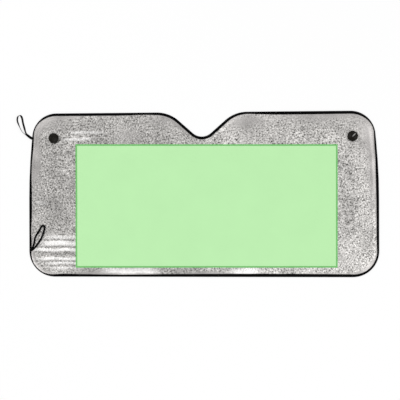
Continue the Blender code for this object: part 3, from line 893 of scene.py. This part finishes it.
def makeStitches(material):
    # short rounded stitches on both faces of the binding
    face = stitchPlaces()
    back = [(x, y, stitching["backHeight"], *others) for x, y, height, *others in face]
    one = bmesh.new()
    bmesh.ops.create_uvsphere(one, u_segments=6, v_segments=4, radius=1.0)
    sideways = Matrix.Rotation(math.radians(90), 3, "Y")
    bmesh.ops.rotate(one, verts=one.verts[:], cent=(0, 0, 0), matrix=sideways)
    radius = stitching["threadRadius"]
    bmesh.ops.scale(one, verts=one.verts[:], vec=(stitching["length"] / 2, radius, radius))
    single = bpy.data.meshes.new("one_stitch")
    one.to_mesh(single)
    one.free()
    whole = bmesh.new()
    for _ in face + back:
        whole.from_mesh(single)
    vertices, size = whole.verts[:], len(single.vertices)
    for index, (x, y, height, angle, long, wide) in enumerate(face + back):
        lift = Matrix.Translation((x, y, height + stitching["proud"]))
        turned = lift @ Matrix.Rotation(angle, 4, "Z") @ Matrix.Diagonal((long, wide, wide, 1))
        bmesh.ops.transform(whole, matrix=turned, verts=vertices[index * size : (index + 1) * size])
    bpy.data.meshes.remove(single)
    stitches = place("seam_stitches", whole, material)
    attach(stitches, "shade")
    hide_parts("seam_thread")


def threadMaterial():
    material, shader = startMaterial("black_thread_twist", {"Roughness": 0.6, "Specular IOR Level": 0.08})
    place3d = addNode(material, "TexCoord", {}).outputs["Object"]
    strands = addNoise(material, place3d, scale=2500.0, detail=1.0)
    wire(material, addRamp(material, strands, stitching["colours"]), shader.inputs["Base Color"])
    return material


makeBinding(bindingMaterial())
makeStitches(threadMaterial())
print("binding made")


# Printed field
printed = {
    "left": -0.473, "right": 0.499, "bottom": -0.2705, "top": 0.1855,
    # how far each corner is off square: bottom left, bottom right, top left, top right
    "cornerShifts": [(-0.0009, -0.0007), (-0.0007, 0.0007), (0.0006, 0.0035), (0.0007, -0.0034)],
    "line": 0.0056,
    "film": 0.0003,
    "spacing": 0.0050,
    "reliefShare": 0.10,  # of the bubbles' relief, shown through the film
    "fieldColour": (0.50, 0.845, 0.43),
    "lineColour": (0.17, 0.53, 0.15),
    "darker": 0.985,
    "lighter": 1.01,
    "bumpDepth": 0.0001,
}


def filmHeights(x, y):
    depth = np.maximum(nearestOn(np.stack([x, y], axis=1), sheetEdge)[0], 0.0)
    top = sheetHeights(x, y, depth)[1]
    return top + gap + printed["film"] - bubbleRelief(x, y) * printed["reliefShare"]


def drapeFilm(shape, name, material):
    # lay a flat film over the sheet, a little off square, and give it its thickness
    spots = np.array([vertex.co[:2] for vertex in shape.verts])
    across = (spots[:, :1] - printed["left"]) / (printed["right"] - printed["left"])
    upward = (spots[:, 1:] - printed["bottom"]) / (printed["top"] - printed["bottom"])
    lowLeft, lowRight, highLeft, highRight = np.array(printed["cornerShifts"])
    spots += (1 - upward) * (lowLeft + (lowRight - lowLeft) * across)
    spots += upward * (highLeft + (highRight - highLeft) * across)
    for vertex, spot, z in zip(shape.verts, spots, filmHeights(spots[:, 0], spots[:, 1])):
        vertex.co = (spot[0], spot[1], z)
    bmesh.ops.recalc_face_normals(shape, faces=shape.faces[:])
    if sum(face.normal.z for face in shape.faces) < 0:
        bmesh.ops.reverse_faces(shape, faces=shape.faces[:])
    lower = bmesh.ops.extrude_face_region(shape, geom=shape.faces[:], use_keep_orig=True)
    moved = [item for item in lower["geom"] if isinstance(item, bmesh.types.BMVert)]
    bmesh.ops.translate(shape, verts=moved, vec=(0, 0, -printed["film"]))
    bmesh.ops.recalc_face_normals(shape, faces=shape.faces[:])
    piece = place(name + "_film", shape, material, sharpAbove=60)
    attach(piece, "shade")
    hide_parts(name)
    return piece


def makeBorder(left, right, bottom, top):
    # a frame as wide as the line, cut finely enough to follow the sheet
    border = bmesh.new()
    corners = ((left, bottom), (right, bottom), (right, top), (left, top))
    face = border.faces.new([border.verts.new((x, y, 0)) for x, y in corners])
    border.normal_update()
    bmesh.ops.inset_region(
        border, faces=[face], thickness=printed["line"], use_boundary=True, use_even_offset=True,
    )
    bmesh.ops.delete(border, geom=[face], context="FACES_ONLY")
    for normal, low, high in ((Vector((1, 0, 0)), left, right), (Vector((0, 1, 0)), bottom, top)):
        count = round((high - low) / printed["spacing"])
        for step in range(1, count):
            everything = border.verts[:] + border.edges[:] + border.faces[:]
            cut = normal * (low + (high - low) * step / count)
            bmesh.ops.bisect_plane(border, geom=everything, dist=0.0001, plane_co=cut, plane_no=normal)
    line = drapeFilm(border, "print_border", inkMaterial("green_ink_line", printed["lineColour"]))


def makeField(left, right, bottom, top):
    width, height = right - left, top - bottom
    inset = printed["line"] + gap
    field = bmesh.new()
    columns, rows = round(width / printed["spacing"]), round(height / printed["spacing"])
    bmesh.ops.create_grid(field, x_segments=columns, y_segments=rows, size=0.5)
    bmesh.ops.scale(field, verts=field.verts[:], vec=(width - 2 * inset, height - 2 * inset, 1))
    middle = ((left + right) / 2, (bottom + top) / 2, 0)
    bmesh.ops.translate(field, verts=field.verts[:], vec=middle)
    fieldPiece = drapeFilm(field, "print_field", inkMaterial("pale_green_ink", printed["fieldColour"]))


def inkMaterial(name, colour):
    material, shader = startMaterial(name, {"Roughness": 0.55, "Specular IOR Level": 0.3})
    place3d = addNode(material, "TexCoord", {}).outputs["Object"]
    cloud = addNoise(material, place3d, scale=9.0, detail=3.0)
    grain = addNoise(material, place3d, scale=1400.0, detail=2.0)
    darker = tuple(c * printed["darker"] for c in colour)
    lighter = tuple(c * printed["lighter"] for c in colour)
    tint = addRamp(material, cloud, [(0.3, darker), (0.7, lighter)])
    wire(material, tint, shader.inputs["Base Color"])
    addBump(material, shader, grain, strength=0.2, distance=printed["bumpDepth"])
    return material


printBox = [printed[side] for side in ("left", "right", "bottom", "top")]
makeBorder(*printBox)
makeField(*printBox)
print("printed field made")


# Suction cups
cups = {
    "around": 72,
    "colours": [(0.4, (0.0036, 0.0028, 0.0012)), (0.8, (0.0130, 0.0112, 0.0080))],
    "roughness": [(0.35, 0.18), (0.7, 0.38)],
    "bumpDepth": 0.0002,
    # a painted highlight, a pale streak across the right cup's rim: place beside the cup's middle, turn,
    # half sizes
    "highlightPlace": (0.0055, 0.0045),
    "highlightTurn": 46,
    "highlightSize": (0.0120, 0.0030, 1.0),
    "highlightColour": (0.42, 0.42, 0.41, 1.0),
}
# The section they are turned from: radius and height
cupSection = [
    (0.0, 0.01040), (0.0015, 0.01038), (0.0022, 0.01052), (0.0040, 0.01056), (0.0044, 0.01042),
    (0.0062, 0.01062), (0.0086, 0.01128), (0.0090, 0.01152), (0.0096, 0.01156), (0.0118, 0.01242),
    (0.0122, 0.01268), (0.0128, 0.01272), (0.0150, 0.01426), (0.0154, 0.01456), (0.0160, 0.01464),
    (0.0176, 0.01616), (0.0181, 0.01656), (0.0185, 0.01664), (0.01885, 0.01660), (0.0190, 0.01645),
    (0.01895, 0.01622), (0.0182, 0.01555), (0.0165, 0.01390), (0.0145, 0.01210), (0.0125, 0.01040),
    (0.0108, 0.00910), (0.0096, 0.00845), (0.0086, 0.00822), (0.0077, 0.00815), (0.0075, 0.00795),
    (0.0074, 0.00770), (0.0072, 0.00762), (0.0036, 0.00760), (0.0033, 0.00735), (0.0032, 0.00550),
    (0.0033, 0.00345), (0.0036, 0.00305), (0.0060, 0.00300), (0.0064, 0.00285), (0.0065, 0.00255),
    (0.0065, 0.00210), (0.0062, 0.00120), (0.0055, 0.00050), (0.0044, 0.00010), (0.0035, 0.0),
    (0.0012, 0.0), (0.0, 0.00025),
]


def makeCup(name, side, material):
    shape = bmesh.new()
    line = [shape.verts.new((radius, 0.0, height)) for radius, height in cupSection]
    edges = [shape.edges.new(pair) for pair in zip(line, line[1:])]
    bmesh.ops.spin(
        shape, geom=line + edges, cent=(0, 0, 0), axis=(0, 0, 1), angle=math.tau,
        steps=cups["around"], use_merge=True,
    )
    bmesh.ops.remove_doubles(shape, verts=shape.verts[:], dist=mergeReach)
    bmesh.ops.recalc_face_normals(shape, faces=shape.faces[:])
    middle = (side * shade["cupX"], shade["cupY"], 0)
    bmesh.ops.translate(shape, verts=shape.verts[:], vec=middle)
    cup = place(name + "_moulded", shape, material, sharpAbove=55)
    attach(cup, ("left" if side < 0 else "right") + "_cup")
    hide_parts(name)


def cupMaterial():
    material, shader = startMaterial("black_soft_pvc", {"Roughness": 0.3, "Specular IOR Level": 0.10})
    place3d = addNode(material, "TexCoord", {}).outputs["Object"]
    dust = addNoise(material, place3d, scale=260.0, detail=5.0, Roughness=0.7)
    smear = addNoise(material, place3d, scale=60.0, detail=2.0, Distortion=1.5)
    besideX, besideY = cups["highlightPlace"]
    highlightPlace = addNode(material, "Mapping", {
        "Vector": place3d, "Location": (shade["cupX"] + besideX, shade["cupY"] + besideY, 0.0),
        "Rotation": (0.0, 0.0, math.radians(cups["highlightTurn"])), "Scale": cups["highlightSize"],
    }, vector_type="TEXTURE")
    cupHighlight = addNode(material, "TexGradient", {"Vector": highlightPlace.outputs[0]}, gradient_type="SPHERICAL")
    dusty = addRamp(material, dust, cups["colours"])
    # painted highlight: a pale streak painted into the right cup's colour
    colour = mixColours(material, cupHighlight.outputs["Fac"], dusty, cups["highlightColour"])
    wire(material, colour, shader.inputs["Base Color"])
    wire(material, addRamp(material, smear, cups["roughness"]), shader.inputs["Roughness"])
    addBump(material, shader, dust, strength=0.15, distance=cups["bumpDepth"])
    return material


pvc = cupMaterial()
makeCup("suction_cup_left", -1, pvc)
makeCup("suction_cup_right", 1, pvc)
print("suction cups made")


# Floor, lamps and world
studio = {
    "floorSize": 14.0,
    "floorDrop": 0.0004,
    "floorColour": (0.98, 0.98, 0.98, 1.0),
    "floorShadowShare": 0.26,  # how much of the shadow shows on the white floor
    "worldStrength": 0.62,
    # name, place, width, height, power, all aimed at the middle of the shade
    "lamps": [
        ("key_softbox", (-1.9, 1.4, 2.8), 2.8, 2.6, 36.0),
        ("fill_softbox", (2.5, -0.2, 2.6), 2.6, 2.0, 26.0),
        ("low_strip", (-0.4, -2.5, 2.0), 3.2, 1.0, 17.0),
    ],
}


def seenRays(owner):
    # 1 for what the camera sees, straight or in a shiny or clear surface
    rays = addNode(owner, "LightPath", {}).outputs
    bounced = mathNode(owner, "MAXIMUM", rays["Is Glossy Ray"], rays["Is Transmission Ray"])
    return mathNode(owner, "MAXIMUM", rays["Is Camera Ray"], bounced)


def floorMaterial():
    material, shader = startMaterial("white_floor", {
        "Base Color": studio["floorColour"], "Roughness": 0.9, "Specular IOR Level": 0.0,
    })
    glow = addNode(material, "Emission", {"Color": (1, 1, 1, 1), "Strength": 1.0})
    share = mathNode(material, "MULTIPLY", seenRays(material), 1 - studio["floorShadowShare"])
    mixed = addNode(material, "MixShader", {0: share, 1: shader.outputs[0], 2: glow.outputs[0]})
    wire(material, mixed.outputs[0], material.node_tree.nodes["Material Output"].inputs["Surface"])
    return material


def makeStudio():
    shape = bmesh.new()
    bmesh.ops.create_grid(shape, x_segments=2, y_segments=2, size=studio["floorSize"] / 2)
    bmesh.ops.translate(shape, verts=shape.verts[:], vec=(0, 0, -studio["floorDrop"]))
    floor = place("studio_floor", shape, floorMaterial(), smooth=False)
    floor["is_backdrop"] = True
    for name, spot, width, height, power in studio["lamps"]:
        data = bpy.data.lights.new(name, "AREA")
        data.shape = "RECTANGLE"
        data.size, data.size_y, data.energy = width, height, power
        lamp = addObject(name, data)
        lamp.location = spot
        lamp.rotation_mode = "QUATERNION"
        lamp.rotation_quaternion = (-Vector(spot)).to_track_quat("-Z", "Y")
    world = bpy.data.worlds.new("white_studio")
    bpy.context.scene.world = world
    world.use_nodes = True
    background = world.node_tree.nodes["Background"]
    background.inputs["Color"].default_value = (1, 1, 1, 1)
    strength = {"Value": seenRays(world), "To Min": studio["worldStrength"], "To Max": 1.0}
    scaled = addNode(world, "MapRange", strength)
    wire(world, scaled.outputs["Result"], background.inputs["Strength"])
    bpy.context.scene.view_settings.view_transform = "Standard"


makeStudio()
print("studio made")

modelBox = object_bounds()
for boxName, box in (("cad", cadBox), ("visual", modelBox)):
    print(boxName, "box", [[round(value, 4) for value in corner] for corner in box])
